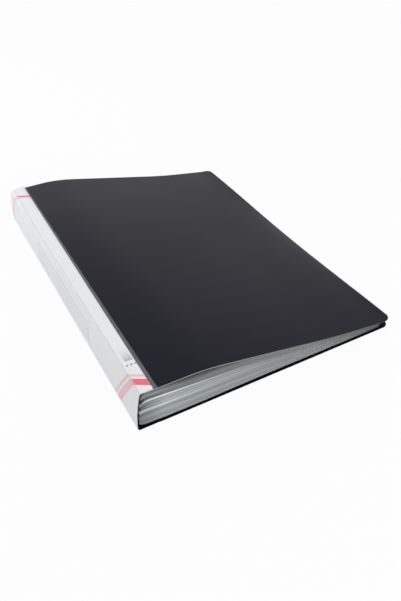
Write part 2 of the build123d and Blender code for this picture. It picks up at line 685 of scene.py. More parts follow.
@dataclass(frozen=True)
class Finish:
    """What every finish starts from, and how it is put on a material's shader."""

    effects: Effects
    rough: Point = (0.4, 0.6)
    shine: float = 0.5
    bump: float = 0.1
    bump_depth: float = 0.05 * MM
    softness: float = 0.15 * MM

    def start(self, name: str) -> tuple[Nodes, bpy.types.Node, bpy.types.Node]:
        """Start a material.

        Args:
            name: The material's name.

        Returns:
            Its nodes, its main shader and its coordinates.
        """
        material = bpy.data.materials.new(name)
        material.use_nodes = True
        nodes = Nodes(material.node_tree)
        shader = material.node_tree.nodes["Principled BSDF"]
        return nodes, shader, nodes.add("ShaderNodeTexCoord")

    def coat(
        self, nodes: Nodes, shader: bpy.types.Node, colour: object, rough: object, height: object
    ) -> bpy.types.Node:
        """Put a finish on a material's shader.

        Args:
            nodes: The material's nodes.
            shader: Its main shader.
            colour: The surface's colour.
            rough: Its roughness.
            height: Its fine relief.

        Returns:
            The node that makes the relief.
        """
        relief = nodes.add("ShaderNodeBump", Height=height, Strength=self.bump, Distance=self.bump_depth)
        nodes.feed(shader.inputs["Base Color"], colour)
        nodes.feed(shader.inputs["Roughness"], rough)
        nodes.feed(shader.inputs["Normal"], relief.outputs[0])
        shader.inputs["Specular IOR Level"].default_value = self.shine
        return relief

    def band(self, nodes: Nodes, place: object, middle: float, half: object) -> bpy.types.NodeSocket:
        """Lay one straight band.

        Args:
            nodes: The material's nodes.
            place: The coordinate that it crosses.
            middle: Its middle.
            half: Half its width.

        Returns:
            Its mask.
        """
        made = nodes.group(
            self.effects.band, Place=place, Middle=middle, Half_Width=half, Softness=self.softness
        )
        return made.outputs["Mask"]

    @staticmethod
    def solid(colour: Colour, share: float = 1.0) -> tuple[float, ...]:
        """Give a colour, or a darker share of it, in the form that nodes take."""
        return *(share * part for part in colour), 1.0


@dataclass(frozen=True)
class CoverPlastic(Finish):
    """Black polypropylene sheet with a fine rolled grain."""

    deep: Colour = (0.0095, 0.0095, 0.0155)
    worn: Colour = (0.0135, 0.0135, 0.0205)
    fineness: float = 2600.0
    rough: Point = (0.36, 0.5)
    bump: float = 0.05
    bump_depth: float = 0.1 * MM
    shine: float = 0.066
    bow: float = 0.2
    fore_bow: float = 0.03
    half_length: float = 155 * MM
    fore_start: float = 56 * MM
    fore_end: float = 120 * MM

    def make(self, name: str) -> bpy.types.Material:
        """Make the material.

        Args:
            name: The material's name.

        Returns:
            The material.
        """
        nodes, shader, place = self.start(name)
        grain = nodes.group(self.effects.grain, Vector=place.outputs["Object"], Fineness=self.fineness)
        tone = grain.outputs["Tone"]
        colour = nodes.mix(tone, self.solid(self.deep), self.solid(self.worn))
        relief = self.coat(nodes, shader, colour, nodes.spread(tone, *self.rough), grain.outputs["Height"])
        nodes.feed(relief.inputs["Normal"], self.bowed_normal(nodes, place.outputs["Object"]))
        return bpy.data.materials[name]

    def bowed_normal(self, nodes: Nodes, place: object) -> bpy.types.NodeSocket:
        """Lean the normals outwards, as on a sheet that bows a little towards its ends and fore edge.

        Args:
            nodes: The material's nodes.
            place: Coordinates of the cover.

        Returns:
            The normal.
        """
        across, along = nodes.parts(place)
        fore = nodes.product(nodes.fade(across, self.fore_start, self.fore_end), self.fore_bow)
        ends = nodes.product(along, self.bow / self.half_length)
        lean = nodes.add("ShaderNodeCombineXYZ", X=fore, Y=ends)
        normal = nodes.add("ShaderNodeNewGeometry").outputs["Normal"]
        return nodes.vector("NORMALIZE", nodes.vector("ADD", normal, lean.outputs[0]))


@dataclass(frozen=True)
class CutPlastic(Finish):
    """Cut edge of the cover's sheet, with saw marks and a painted highlight that is pale near the spine and
    fades to dark towards the fore edge.
    """

    pale: Colour = (0.28, 0.28, 0.285)
    dark: Colour = (0.02, 0.02, 0.024)
    fade_start: float = -40 * MM
    fade_end: float = 112 * MM
    saw_scale: float = 900.0
    saw_depth: float = 0.8
    bump: float = 0.08
    shine: float = 0.2

    def make(self, name: str) -> bpy.types.Material:
        """Make the material.

        Args:
            name: The material's name.

        Returns:
            The material.
        """
        nodes, shader, place = self.start(name)
        across, _ = nodes.parts(place.outputs["Object"])
        saw_marks = nodes.noise(place.outputs["Object"], self.saw_scale)
        pale = nodes.mix(saw_marks, self.solid(self.pale, self.saw_depth), self.solid(self.pale))
        # Painted highlight: pale near the spine, fading to dark towards the fore edge.
        colour = nodes.mix(nodes.fade(across, self.fade_start, self.fade_end), pale, self.solid(self.dark))
        self.coat(nodes, shader, colour, nodes.spread(saw_marks, *self.rough), saw_marks)
        return bpy.data.materials[name]


@dataclass(frozen=True)
class PrintedCard(Finish):
    """White coated card with slanted stripes near each end, a fading dot screen and a ruled title panel."""

    white: Colour = (0.765, 0.775, 0.80)
    red: Colour = (0.70, 0.10, 0.125)
    pink: Colour = (0.80, 0.47, 0.52)
    grey: Colour = (0.30, 0.31, 0.34)
    pale_grey: Colour = (0.45, 0.47, 0.50)
    fineness: float = 1400.0
    paleness: float = 0.97
    rough: Point = (0.42, 0.56)
    bump: float = 0.06
    softness: float = 0.16 * MM
    flap_fade: Point = (-3 * MM, 1 * MM)
    slant: float = 0.55
    near_stripe: float = -143 * MM
    far_stripe: float = 139 * MM
    stripe_half: float = 3.2 * MM
    pale_gap: float = 6.6 * MM
    pale_half: float = 1.2 * MM
    far_scale: float = 0.5
    screen_middle: Point = (5.4 * MM, -117 * MM)
    screen_half: Point = (3.0 * MM, 6.4 * MM)
    screen_pitch: float = 1.0 * MM
    screen_dots: Point = (0.52, 0.1)
    dot_start: float = -127.5 * MM
    dot_step: float = 3.2 * MM
    dot_radius: float = 1.0 * MM
    dots: int = 3
    line_half: float = 0.4 * MM
    panel_half_length: float = 64 * MM
    panel_middle: float = -20 * MM
    panel_half_height: float = 8 * MM
    panel_lines: int = 2
    # A thin darker line along the fold.
    crease_place: float = -0.7 * MM
    crease_half: float = 0.4 * MM
    fold_line_darkness: float = 0.6

    def make(self, name: str) -> bpy.types.Material:
        """Make the material.

        Args:
            name: The material's name.

        Returns:
            The material.
        """
        nodes, shader, place = self.start(name)
        around, along = nodes.parts(place.outputs["UV"])
        grain = nodes.group(self.effects.grain, Vector=place.outputs["Object"], Fineness=self.fineness)
        tone = grain.outputs["Tone"]
        colour = nodes.mix(tone, self.solid(self.white, self.paleness), self.solid(self.white))
        pink = self.solid(self.pink)
        warm = nodes.mix(nodes.fade(around, *self.flap_fade), pink, self.solid(self.red))
        slanted = nodes.total(along, nodes.product(around, self.slant))
        for middle, scale in ((self.near_stripe, 1.0), (self.far_stripe, -self.far_scale)):
            wide = self.band(nodes, slanted, middle, self.stripe_half * abs(scale))
            thin = self.band(nodes, slanted, middle + self.pale_gap * scale, self.pale_half * abs(scale))
            colour = nodes.mix(thin, nodes.mix(wide, colour, warm), pink)
        # A thin darker line along the fold, laid over the print.
        crease = self.band(nodes, around, self.crease_place, self.crease_half)
        marks = (
            (self.screen(nodes, around, along), self.grey),
            (self.dot_row(nodes, around, along), self.grey),
            (self.panel(nodes, around, along), self.pale_grey),
            (nodes.product(crease, self.fold_line_darkness), self.pale_grey),
        )
        for mask, ink in marks:
            colour = nodes.mix(mask, colour, self.solid(ink))
        self.coat(nodes, shader, colour, nodes.spread(tone, *self.rough), grain.outputs["Height"])
        return bpy.data.materials[name]

    def disc(self, nodes: Nodes, first: object, second: object, radius: object) -> bpy.types.NodeSocket:
        """Lay a disc round the place where two coordinates are 0.

        Args:
            nodes: The material's nodes.
            first: One coordinate.
            second: The other.
            radius: Its radius.

        Returns:
            Its mask.
        """
        square = nodes.total(nodes.product(first, first), nodes.product(second, second))
        return self.band(nodes, nodes.math("SQRT", square), 0.0, radius)

    def screen(self, nodes: Nodes, around: object, along: object) -> bpy.types.NodeSocket:
        """Lay the dot screen on the front flap, with dots that grow towards the near end.

        Args:
            nodes: The material's nodes.
            around: Coordinate round the spine.
            along: Coordinate along the spine.

        Returns:
            Its mask.
        """
        middle, half, pitch = self.screen_middle, self.screen_half, self.screen_pitch
        cells = []
        for place in (around, along):
            cell = nodes.math("FRACT", nodes.math("DIVIDE", place, pitch))
            cells.append(nodes.product(nodes.math("SUBTRACT", cell, 0.5), pitch))
        away = nodes.fade(along, middle[1] - half[1], middle[1] + half[1])
        dots = self.disc(nodes, *cells, nodes.spread(away, *(pitch * size for size in self.screen_dots)))
        beside = (self.band(nodes, *side) for side in zip((around, along), middle, half))
        return nodes.product(dots, *beside)

    def dot_row(self, nodes: Nodes, around: object, along: object) -> bpy.types.NodeSocket:
        """Lay a short row of discs across the front flap.

        Args:
            nodes: The material's nodes.
            around: Coordinate round the spine.
            along: Coordinate along the spine.

        Returns:
            Its mask.
        """
        beside = nodes.math("SUBTRACT", along, self.dot_start)
        row = []
        for count in range(self.dots):
            middle = self.screen_middle[0] + (count - (self.dots - 1) / 2) * self.dot_step
            row.append(self.disc(nodes, nodes.math("SUBTRACT", around, middle), beside, self.dot_radius))
        return nodes.highest(*row)

    def panel(self, nodes: Nodes, around: object, along: object) -> bpy.types.NodeSocket:
        """Draw the title panel's frame and rules.

        Args:
            nodes: The material's nodes.
            around: Coordinate round the spine.
            along: Coordinate along the spine.

        Returns:
            The mask of its lines.
        """
        within = self.band(nodes, along, 0.0, self.panel_half_length + self.line_half)
        across = self.band(nodes, around, self.panel_middle, self.panel_half_height + self.line_half)
        lines = []
        step = 2 * self.panel_half_height / (self.panel_lines + 1)
        for count in range(self.panel_lines + 2):
            middle = self.panel_middle - self.panel_half_height + count * step
            lines.append(self.band(nodes, around, middle, self.line_half))
        ends = self.band(nodes, nodes.math("ABSOLUTE", along), self.panel_half_length, self.line_half)
        return nodes.highest(nodes.product(nodes.highest(*lines), within), nodes.product(ends, across))


@dataclass(frozen=True)
class ClearFilm(Finish):
    """Clear film with drawn streaks, and weld bands that are a little frosted, their colour painted with
    light and shade where a mesh holds a tone attribute.
    """

    tint: Colour = (0.80, 0.84, 0.87)
    # Weld colours by the tone attribute: at 0, painted shade on the pockets and the plain weld where no
    # attribute is written; at 1, painted highlight.
    weld_plain_and_shaded: Colour = (0.74, 0.77, 0.79)
    weld_painted_highlight: Colour = (0.95, 0.97, 0.98)
    clear: float = 0.01
    cloudy: float = 0.028
    welded: float = 0.05
    rim: float = 0.06
    rim_blend: float = 0.25
    stretch: Triple = (6.0, 0.6, 6.0)
    rib_pitch: float = 0.5 * MM
    rib_tones: Point = (0.85, 1.0)
    rough: Point = (0.16, 0.24)
    weld_rough: float = 0.12
    bump: float = 0.12

    def make(self, name: str, welds: "WeldMask") -> bpy.types.Material:
        """Make the material.

        Args:
            name: The material's name.
            welds: Draws the mask of the weld bands from the two map coordinates.

        Returns:
            The material.
        """
        nodes, shader, place = self.start(name)
        first, second = nodes.parts(place.outputs["UV"])
        weld = welds(self, nodes, first, second)
        drawn = nodes.group(self.effects.haze, Vector=place.outputs["Object"], Stretch=self.stretch)
        haze = drawn.outputs["Mask"]
        ribs = nodes.math("SINE", nodes.product(nodes.total(first, second), 2 * pi / self.rib_pitch))
        open_film = nodes.spread(haze, self.clear, self.cloudy)
        frosted = nodes.product(weld, nodes.spread(ribs, *self.rib_tones), self.welded)
        gloss = nodes.add("ShaderNodeLayerWeight", Blend=self.rim_blend).outputs["Facing"]
        alpha = nodes.total(open_film, frosted, nodes.product(gloss, self.rim))
        nodes.feed(shader.inputs["Alpha"], nodes.clamp(alpha))
        # The weld's colour runs from painted shade to painted highlight by the tone attribute; without the
        # attribute it keeps its plain colour.
        weld_colour = nodes.mix(nodes.tone(), self.solid(self.weld_plain_and_shaded), self.solid(self.weld_painted_highlight))
        colour = nodes.mix(weld, self.solid(self.tint), weld_colour)
        rough = nodes.total(nodes.spread(haze, *self.rough), nodes.product(weld, self.weld_rough))
        self.coat(nodes, shader, colour, rough, nodes.total(nodes.product(weld, ribs), haze))
        return bpy.data.materials[name]


WeldMask = Callable[[ClearFilm, Nodes, object, object], object]


@dataclass(frozen=True)
class FilmEdge(Finish):
    """Cut edge of clear film, pale where the tone attribute paints light and shaded where it paints shade,
    in random patches; without that attribute it keeps its shaded colour.
    """

    # Edge colours in painted light and in painted shade, mixed by the tone attribute.
    pale: Colour = (0.86, 0.88, 0.89)
    shaded: Colour = (0.36, 0.38, 0.39)
    streak: Triple = (0.1, 1.0, 1.0)
    patch_scale: float = 180.0
    patch_tones: Point = (0.7, 1.3)
    rough: Point = (0.2, 0.4)
    shine: float = 0.25

    def make(self, name: str) -> bpy.types.Material:
        """Make the material.

        Args:
            name: The material's name.

        Returns:
            The material.
        """
        nodes, shader, place = self.start(name)
        drawn = nodes.vector("MULTIPLY", place.outputs["Object"], self.streak)
        patches = nodes.noise(drawn, self.patch_scale)
        # The edge's colour runs from shaded to pale by the tone attribute, the pockets' painted light and
        # shade, in random patches.
        share = nodes.clamp(nodes.product(nodes.tone(), nodes.spread(patches, *self.patch_tones)))
        colour = nodes.mix(share, self.solid(self.shaded), self.solid(self.pale))
        self.coat(nodes, shader, colour, nodes.spread(patches, *self.rough), patches)
        return bpy.data.materials[name]


@dataclass(frozen=True)
class FrontProfile:
    """Middle line of the front cover from the crease to the fore edge."""

    sizes: BookSizes
    level_run: float = 50.5 * MM
    upper_radius: float = 160 * MM
    lower_radius: float = 600 * MM
    fore_run: float = 64 * MM
    fore_slope: float = radians(6.6)
    fore_z: float = 6.6273 * MM

    @property
    def end_x(self) -> float:
        """Where the middle line ends at the fore edge."""
        return self.sizes.width / 2 - self.sizes.sheet / 2 * sin(self.fore_slope)

    @property
    def knee(self) -> Point:
        """Corner between the fall and the fore run, before it is rounded."""
        return self.end_x - self.fore_run, self.fore_z + self.fore_run * tan(self.fore_slope)

    @property
    def shoulder(self) -> Point:
        """Corner between the level run and the fall, before it is rounded."""
        return self.sizes.corner_x(Side.FRONT) + self.level_run, self.sizes.crease_z(Side.FRONT)

    @property
    def fall(self) -> float:
        """Slope angle between the two corners."""
        return atan2(self.shoulder[1] - self.knee[1], self.knee[0] - self.shoulder[0])

    @property
    def upper_cut(self) -> float:
        """Length that the upper rounding takes from each run."""
        return self.upper_radius * tan(self.fall / 2)

    @property
    def lower_cut(self) -> float:
        """Length that the lower rounding takes from each run."""
        return self.lower_radius * tan((self.fall - self.fore_slope) / 2)

    @property
    def fall_run(self) -> float:
        """Straight length of the fall."""
        whole = hypot(self.knee[0] - self.shoulder[0], self.shoulder[1] - self.knee[1])
        return whole - self.upper_cut - self.lower_cut

    @property
    def bend_start(self) -> float:
        """Where the level run ends."""
        return self.shoulder[0] - self.upper_cut

    def height_at(self, x: float) -> float:
        """Find the middle line's height.

        Args:
            x: Place across the book.

        Returns:
            The height there.
        """
        level = self.shoulder[1]
        upper_end = self.bend_start + self.upper_radius * sin(self.fall)
        lower_start = self.knee[0] - self.lower_cut * cos(self.fall)
        lower_middle = lower_start + self.lower_radius * sin(self.fall)
        lower_end = self.knee[0] + self.lower_cut * cos(self.fore_slope)
        if x <= self.bend_start:
            return level
        if x <= upper_end:
            return level - self.upper_radius + sqrt(self.upper_radius**2 - (x - self.bend_start) ** 2)
        if x <= lower_start:
            return level - (x - self.shoulder[0]) * tan(self.fall)
        if x <= lower_end:
            start_z = self.knee[1] + self.lower_cut * sin(self.fall)
            middle_z = start_z + self.lower_radius * cos(self.fall)
            return middle_z - sqrt(self.lower_radius**2 - (x - lower_middle) ** 2)
        return self.fore_z + (self.end_x - x) * tan(self.fore_slope)

    def underside_at(self, x: float) -> float:
        """Height of the cover's lower face."""
        return self.height_at(x) - self.sizes.sheet / 2 / cos(self.fall)


@dataclass(frozen=True)
class FoldSteps:
    """Numbers of edges along a sheet that is drawn round a crease."""

    fold: int = 12
    near: int = 5
    front_bow: int = 24
    back_bow: int = 4

    def bow(self, side: Side) -> int:
        """Number along the rest of the spine, on the piece that one cover carries."""
        return self.front_bow if side is Side.FRONT else self.back_bow


@dataclass
class CoverShell:
    """The cover: one sheet in two halves that meet behind the spine, each with a living hinge."""

    sizes: BookSizes
    profile: FrontProfile
    plastic: CoverPlastic
    # Back cover's plastic, darkened as painted shade.
    shaded_back_plastic: CoverPlastic
    cut: CutPlastic
    # Back cover's cut edge, black as painted shade.
    shaded_back_cut: CutPlastic
    edge_rounding: float = 0.08 * MM
    seam_z: float = 20.2 * MM
    step_reach: float = 15.4 * MM
    step_ramp: float = 4 * MM
    step_radius: float = 6 * MM
    steps: FoldSteps = FoldSteps(fold=10, front_bow=8, back_bow=8)
    upper_steps: int = 14
    lower_steps: int = 12
    ramp_steps: int = 4
    corner_steps: int = 10

    def build(self) -> list[bpy.types.Object]:
        """Build both halves.

        Returns:
            The pieces.
        """
        front = self.half(Side.FRONT, "cover_front_half", self.draw_front)
        back = self.half(Side.BACK, "cover_back_half", self.draw_back)
        front.data.materials.append(self.plastic.make("black_rolled_plastic"))
        front.data.materials.append(self.cut.make("cut_plastic_edge"))
        # The back half takes painted shade: a darker plastic with less reflection, and black cut edges.
        back.data.materials.append(self.shaded_back_plastic.make("dull_black_plastic"))
        back.data.materials.append(self.shaded_back_cut.make("dark_plastic_edge"))
        mark_cut_edges(front, self.sizes.corner_x(Side.FRONT) + self.step_reach)
        mark_cut_edges(back, -self.sizes.width)
        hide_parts("front_cover", "spine_panel")
        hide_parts("back_cover", "spine_panel")
        return [front, back]

    def half(self, side: Side, name: str, draw_panel: Callable[[], None]) -> bpy.types.Object:
        """Build one half of the cover.

        Args:
            side: Which cover it is.
            name: Name of the piece.
            draw_panel: Draws the panel from the level run's end to the fore edge.

        Returns:
            The piece.
        """
        wrap = Wrap(self.sizes, side, 0.0)
        level_end = self.profile.bend_start if side is Side.FRONT else self.step_start
        seam_angle = side.value * asin((self.seam_z - self.sizes.bow_centre[1]) / wrap.bow_radius)
        piece = Bench.plane(name, wrap.flap_start, level_end, self.sizes.length, wrap.flap_z)
        with Bench.editing(piece, Element.EDGE):
            Bench.pick(piece, Element.EDGE, lambda co: co.x > level_end - NEAR)
            draw_panel()
            draw_fold(piece, wrap, seam_angle, self.steps)
        self.round_corners(piece)
        sheet, crease_x = self.sizes.sheet, self.sizes.crease_x(side)
        Bench.thicken(piece, sheet)
        Bench.soften(
            piece, self.edge_rounding, lambda co: abs(co.z - self.seam_z) < sheet and co.x < crease_x
        )
        Bench.close(piece)
        blend_fold(piece, self.sizes, side)
        return piece

    @property
    def step_x(self) -> float:
        """Where the step in the back cover begins, before it is rounded."""
        return self.sizes.corner_x(Side.BACK) + self.step_reach

    @property
    def step_angle(self) -> float:
        """Slope of the step in the back cover."""
        return atan2(self.sizes.crease_z(Side.BACK) - self.sizes.sheet / 2, self.step_ramp)

    @property
    def step_cut(self) -> float:
        """Length that a rounding of the step takes from each run."""
        return self.step_radius * tan(self.step_angle / 2)

    @property
    def step_start(self) -> float:
        """Where the back cover's level run ends."""
        return self.step_x - self.step_cut

    def draw_front(self) -> None:
        """Draw the front panel's two bends and the runs between them, from the selected edge."""
        shape = self.profile
        level = shape.shoulder[1]
        Bench.turn((shape.bend_start, level - shape.upper_radius), -shape.fall, self.upper_steps)
        Bench.run(shape.fall_run * cos(shape.fall), -shape.fall_run * sin(shape.fall))
        knee_x = shape.knee[0] - shape.lower_cut * cos(shape.fall)
        knee_z = shape.knee[1] + shape.lower_cut * sin(shape.fall)
        centre_x = knee_x + shape.lower_radius * sin(shape.fall)
        centre_z = knee_z + shape.lower_radius * cos(shape.fall)
        Bench.turn((centre_x, centre_z), shape.fall - shape.fore_slope, self.lower_steps)
        last_run = shape.fore_run / cos(shape.fore_slope) - shape.lower_cut
        Bench.run(last_run * cos(shape.fore_slope), -last_run * sin(shape.fore_slope))

    def draw_back(self) -> None:
        """Draw the back panel's step and its run to the fore edge, from the selected edge."""
        level = self.sizes.crease_z(Side.BACK)
        angle = self.step_angle
        Bench.turn((self.step_start, level - self.step_radius), -angle, self.ramp_steps)
        drop = level - self.sizes.sheet / 2
        ramp = hypot(self.step_ramp, drop) - 2 * self.step_cut
        Bench.run(ramp * cos(angle), -ramp * sin(angle))
        foot_x = self.step_x + self.step_ramp + self.step_cut
        Bench.turn((foot_x, self.sizes.sheet / 2 + self.step_radius), angle, self.ramp_steps)
        Bench.run(self.sizes.width / 2 - foot_x, 0.0)

    def round_corners(self, piece: bpy.types.Object) -> None:
        """Round the two corners at the fore edge.

        Args:
            piece: The open sheet.
        """
        end = max(vertex.co.x for vertex in piece.data.vertices)
        with Bench.editing(piece, Element.VERT):
            Bench.pick(piece, Element.VERT, lambda co: co.x > end - NEAR)
            bpy.ops.mesh.bevel(
                offset=self.sizes.corner_radius, segments=self.corner_steps, affect="VERTICES"
            )


def draw_fold(piece: bpy.types.Object, wrap: Wrap, end_angle: float, steps: FoldSteps) -> None:
    """Draw a sheet from its flap round the crease and along the spine.

    Args:
        piece: The open piece.
        wrap: The line that it follows.
        end_angle: Angle of the bow where the sheet ends, from the level of its centre towards the fold.
        steps: Numbers of edges round the fold, beside it where it bends, and on the rest of the spine.
    """
    start = wrap.flap_start
    Bench.pick(piece, Element.EDGE, lambda co: co.x < start + NEAR and abs(co.z - wrap.flap_z) < NEAR)
    for _ in range(steps.near):
        Bench.run((wrap.fold_centre[0] - start) / steps.near, 0.0)
    turn = wrap.side.value
    bow_centre = wrap.sizes.bow_centre
    Bench.turn(wrap.fold_centre, turn * wrap.fold_turn, steps.fold)
    Bench.turn(bow_centre, turn * wrap.near_angle, steps.near)
    rest = wrap.bow_angle - wrap.near_angle - end_angle
    Bench.turn(bow_centre, turn * rest, steps.bow(wrap.side))


def skin_end_angle(wrap: Wrap) -> float:
    """Find where the card's and the film's two pieces meet, low on the spine.

    Args:
        wrap: The line of one of the pieces.

    Returns:
        The angle of the bow there, from the level of its centre towards that piece's fold.
    """
    low = Wrap(wrap.sizes, Side.BACK, wrap.offset)
    meeting = low.bow_angle - 2 * low.near_angle
    return meeting if wrap.side is Side.BACK else -meeting


@dataclass(frozen=True)
class Wear:
    """Worn shape of the front sheets: a fold pressed in at its far end, and a wavy fore edge."""

    sizes: BookSizes
    lengths: int = 16
    end_strip: float = 0.8 * MM
    fold_start: float = 60 * MM
    fold_depth: float = 2.0 * MM
    flap_reach: float = 8.0 * MM
    spine_reach: float = 6.2 * MM
    wave_start: float = 106 * MM
    wave_middle: float = -15 * MM
    wave: float = 1.35 * MM
    wave_steps: int = 5

    def shape(self, piece: bpy.types.Object) -> None:
        """Cut a finished sheet into short lengths and move their corners.

        Args:
            piece: The sheet.
        """
        half_width = self.sizes.width / 2
        reach = max(corner.co.x for corner in piece.data.vertices)
        with Bench.editing(piece, Element.FACE):
            inner = self.sizes.length - 2 * self.end_strip
            for step in range(self.lengths + 1):
                place = (step / self.lengths - 0.5) * inner
                bpy.ops.mesh.select_all(action="SELECT")
                bpy.ops.mesh.bisect(plane_co=(0.0, place, 0.0), plane_no=(0.0, 1.0, 0.0))
            for step in range(self.wave_steps if reach > self.wave_start else 0):
                place = self.wave_start + (half_width - self.wave_start) * step / self.wave_steps
                bpy.ops.mesh.select_all(action="SELECT")
                bpy.ops.mesh.bisect(plane_co=(place, 0.0, 0.0), plane_no=(1.0, 0.0, 0.0))
        for corner in piece.data.vertices:
            press = self.press_at(corner.co)
            corner.co += Vector((press, 0.0, self.wave_at(corner.co) - press))

    def press_at(self, place: Vector) -> float:
        """Find how far the fold is pressed in, towards the fore edge and down alike.

        Args:
            place: A corner of the sheet.

        Returns:
            The length along each of the two axes.
        """
        along = (place.y - self.fold_start) / (self.sizes.length / 2 - self.fold_start)
        offset = place.x - self.sizes.corner_x(Side.FRONT) - self.sizes.height + place.z
        share = 1 - (offset / (self.flap_reach if offset > 0 else self.spine_reach)) ** 2
        return self.fold_depth * max(along, 0.0) ** 2 * max(share, 0.0) ** 2

    def wave_at(self, place: Vector) -> float:
        """Find how far the fore edge is lifted.

        Args:
            place: A corner of the sheet.

        Returns:
            The length, negative where it is lowered.
        """
        out = max(place.x - self.wave_start, 0.0) / (self.sizes.width / 2 - self.wave_start)
        return -self.wave * out**2 * cos(2 * pi * (place.y - self.wave_middle) / self.sizes.length)


def blend_fold(piece: bpy.types.Object, sizes: BookSizes, side: Side) -> None:
    """Give a finished front sheet its worn shape, and put each sheet's place into its mesh.

    Args:
        piece: The sheet.
        sizes: The book's sizes.
        side: Which crease it crosses.
    """
    crease_x, crease_z, reach = sizes.crease_x(side), sizes.crease_z(side), sizes.fold_reach
    if side is Side.FRONT:
        Wear(sizes).shape(piece)
        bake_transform(piece)
    else:
        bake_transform(piece)


@dataclass
class SpineCard:
    """Printed card round the spine inside the clear sleeve, in two pieces that meet low on the spine."""

    sizes: BookSizes
    finish: PrintedCard
    near_reach: float = 10.5 * MM
    far_reach: float = 12.9 * MM
    end_margin: float = 0.1 * MM
    steps: FoldSteps = FoldSteps()

    def build(self) -> list[bpy.types.Object]:
        """Build both pieces.

        Returns:
            The pieces.
        """
        material = self.finish.make("printed_white_card")
        front = self.part(Side.FRONT, "spine_card_front")
        back = self.part(Side.BACK, "spine_card_back")
        for piece in (front, back):
            piece.data.materials.append(material)
        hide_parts("label_front", "label_spine")
        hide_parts("label_back", "label_spine")
        return [front, back]

    def part(self, side: Side, name: str) -> bpy.types.Object:
        """Build one piece of the card.

        Args:
            side: Which cover its flap lies on.
            name: Name of the piece.

        Returns:
            The piece.
        """
        wrap = Wrap(self.sizes, side, self.sizes.card_offset)
        near_end = self.sizes.corner_x(side) + self.near_reach
        length = self.sizes.length - 2 * self.end_margin
        piece = Bench.plane(name, wrap.flap_start, near_end, length, wrap.flap_z)
        with Bench.editing(piece, Element.VERT):
            Bench.pick(piece, Element.VERT, lambda co: co.x > near_end - NEAR and co.y > 0)
            bpy.ops.transform.translate(value=(self.far_reach - self.near_reach, 0.0, 0.0))
        with Bench.editing(piece, Element.EDGE):
            draw_fold(piece, wrap, skin_end_angle(wrap), self.steps)
        Bench.thicken(piece, self.sizes.card)
        Bench.close(piece)
        Bench.chart(piece, lambda co: (self.map_around(wrap, co), co.y))
        blend_fold(piece, self.sizes, side)
        return piece

    def map_around(self, wrap: Wrap, corner: Vector) -> float:
        """Give a corner's place round the card, counted from the front fold.

        Args:
            wrap: The line that the piece follows.
            corner: The corner.

        Returns:
            The distance, positive on the front flap and negative on the spine.
        """
        travel = wrap.travel(corner.x, corner.z)
        if wrap.side is Side.FRONT:
            return travel
        front = Wrap(wrap.sizes, Side.FRONT, wrap.offset)
        folds = sum(line.fold_radius * line.fold_turn for line in (wrap, front))
        return -folds - wrap.bow_radius * (wrap.bow_angle + front.bow_angle) - travel


@dataclass
class ClearSleeve:
    """Clear film over the card, welded to both covers along its edges."""

    sizes: BookSizes
    finish: ClearFilm
    edge: FilmEdge
    over_card: float = 13.0 * MM
    step_down: float = 0.4 * MM
    weld_width: float = 1.0 * MM
    haze_width: float = 4.6 * MM
    near_taper: float = 0.8 * MM
    steps: FoldSteps = FoldSteps()

    def build(self) -> list[bpy.types.Object]:
        """Build both pieces.

        Returns:
            The pieces.
        """
        material = self.finish.make("clear_sleeve_film", self.welds)
        edge = self.edge.make("sleeve_cut_edge")
        front = self.part(Side.FRONT, "clear_sleeve_front")
        back = self.part(Side.BACK, "clear_sleeve_back")
        for piece in (front, back):
            piece.data.materials.append(material)
            piece.data.materials.append(edge)
            mark_cut_edges(piece, -self.sizes.width)
        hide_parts("sleeve_front", "sleeve_spine")
        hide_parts("sleeve_back", "sleeve_spine")
        return [front, back]

    @property
    def reach(self) -> float:
        """From the spine's outer face to the film's edge."""
        return self.over_card + self.step_down + self.weld_width

    def welds(self, film: ClearFilm, nodes: Nodes, around: object, along: object) -> object:
        """Draw the weld band along the film's edge.

        Args:
            film: The finish.
            nodes: The material's nodes.
            around: Coordinate round the sleeve.
            along: Coordinate along the spine, not used.

        Returns:
            The mask of the weld.
        """
        wrap = Wrap(self.sizes, Side.FRONT, self.sizes.film_offset)
        edge = self.sizes.corner_x(Side.FRONT) + self.reach - wrap.fold_centre[0]
        return film.band(nodes, around, edge - self.haze_width / 2, self.haze_width / 2)

    def part(self, side: Side, name: str) -> bpy.types.Object:
        """Build one piece of the sleeve.

        Args:
            side: Which cover its flap lies on.
            name: Name of the piece.

        Returns:
            The piece.
        """
        wrap = Wrap(self.sizes, side, self.sizes.film_offset)
        flat_end = self.sizes.corner_x(side) + self.over_card
        piece = Bench.plane(name, wrap.flap_start, flat_end, self.sizes.length, wrap.flap_z)
        drop = self.sizes.card + self.sizes.skin_gap
        with Bench.editing(piece, Element.EDGE):
            Bench.pick(piece, Element.EDGE, lambda co: co.x > flat_end - NEAR)
            Bench.run(self.step_down, -side.value * drop)
            Bench.run(self.weld_width, 0.0)
            Bench.pick(piece, Element.VERT, lambda co: co.x > flat_end - NEAR and co.y < 0)
            bpy.ops.transform.translate(value=(-self.near_taper, 0.0, 0.0))
            draw_fold(piece, wrap, skin_end_angle(wrap), self.steps)
        Bench.thicken(piece, self.sizes.film)
        Bench.close(piece)
        Bench.chart(piece, lambda co: (wrap.travel(co.x, co.z), co.y))
        blend_fold(piece, self.sizes, side)
        return piece


def mark_cut_edges(piece: bpy.types.Object, start: float) -> None:
    """Give a sheet's second finish to the cut faces at its two ends.

    Args:
        piece: The sheet.
        start: Lowest x that takes it.
    """
    for face in piece.data.polygons:
        if abs(face.normal.y) > END_FACING and face.center.x > start:
            face.material_index = 1


def ease(share: float) -> float:
    """Bring a share into the range from 0 to 1, with soft ends."""
    kept = min(1.0, max(0.0, share))
    return kept * kept * (3.0 - 2.0 * kept)


